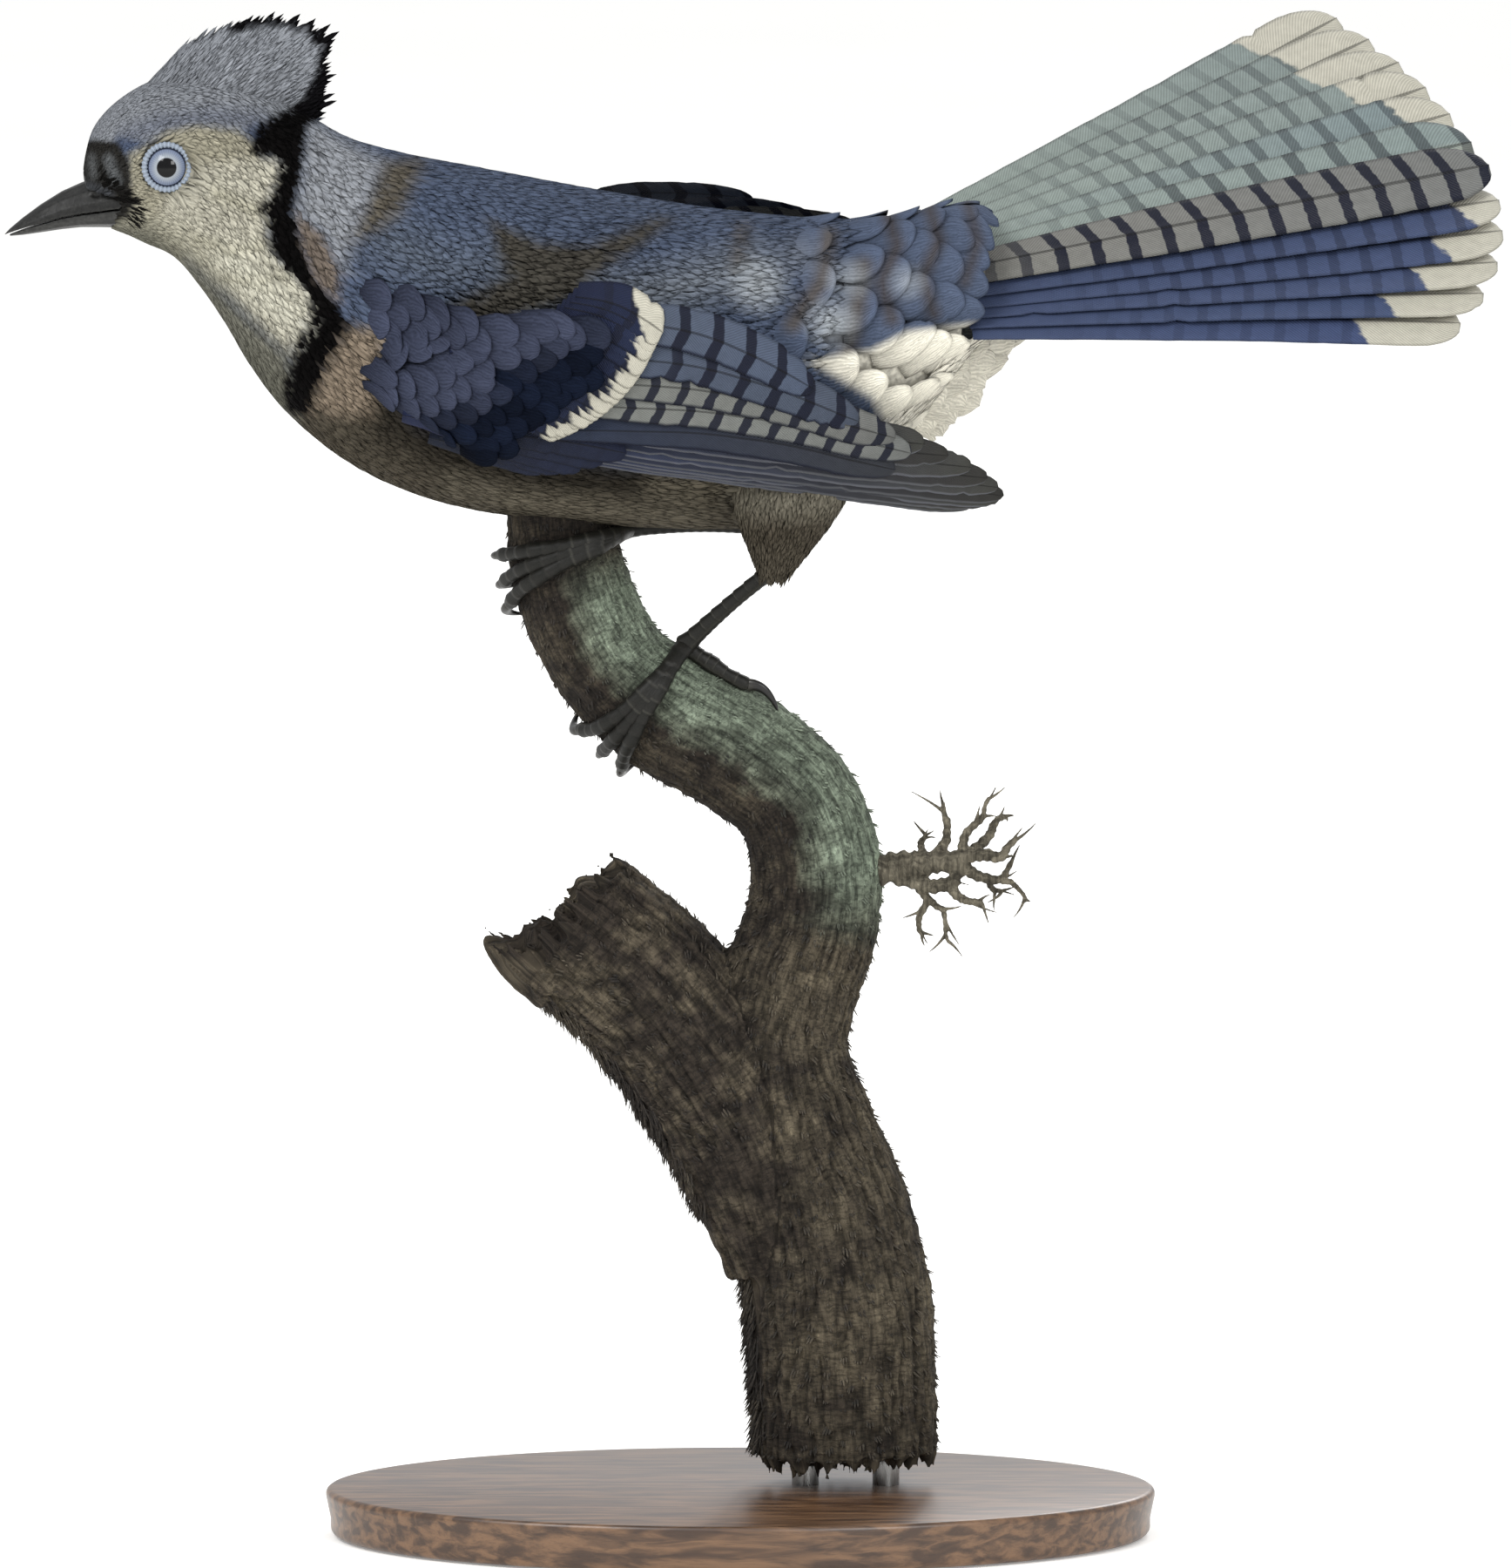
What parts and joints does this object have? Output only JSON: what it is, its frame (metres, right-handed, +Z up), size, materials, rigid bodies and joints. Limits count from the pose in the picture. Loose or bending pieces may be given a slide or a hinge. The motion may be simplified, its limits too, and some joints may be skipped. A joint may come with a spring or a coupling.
{
  "type": "blue jay on a branch, museum model",
  "caption": "Life-size blue jay with raised crest and half-open tail, leaning forward on a short cut length of branch with a broken stub, on a plain oval stand.",
  "frame": {"origin": "middle of the underside of the stand's oval base", "axes": "+Z up; the bird looks along -X, and -Y is the side its left wing shows to"},
  "size_m": [0.287, 0.1194, 0.2941],
  "materials": {
    "plumage_blue": "slate-blue feathers",
    "plumage_navy": "dark blue feathers",
    "plumage_grey": "grey-cream feathers",
    "plumage_brown": "grey-brown feathers",
    "plumage_white": "cream-white feathers",
    "bill": "dark horn, softly glossy",
    "eye": "glassy, pale blue iris",
    "leg": "near-black scaled skin and claw",
    "bark": "rough bark",
    "stand": "stained and waxed wood",
    "rod": "plain steel rod"
  },
  "bodies": {
    "root": {"head": "plumage_grey", "bill_upper": "bill", "bill_lower": "bill", "eye_left": "eye", "eye_right": "eye", "neck": "plumage_blue", "torso": "plumage_brown", "crest": "plumage_blue", "rump": "plumage_white", "tail": "plumage_blue", "wing_left": "plumage_navy", "wing_right": "plumage_navy", "thigh_left": "plumage_brown", "thigh_right": "plumage_brown", "tarsus_left": "leg", "tarsus_right": "leg", "foot_left": "leg", "foot_right": "leg", "perch_branch": "bark", "perch_middle": "bark", "perch_trunk": "bark", "perch_stub": "bark", "perch_twig": "bark", "stand_base": "stand", "stand_rod_1": "rod", "stand_rod_2": "rod", "claw_left_1": "leg", "claw_left_2": "leg", "claw_left_3": "leg", "claw_left_4": "leg", "claw_right_1": "leg", "claw_right_2": "leg", "claw_right_3": "leg", "claw_right_4": "leg"}
  },
  "joints": []
}
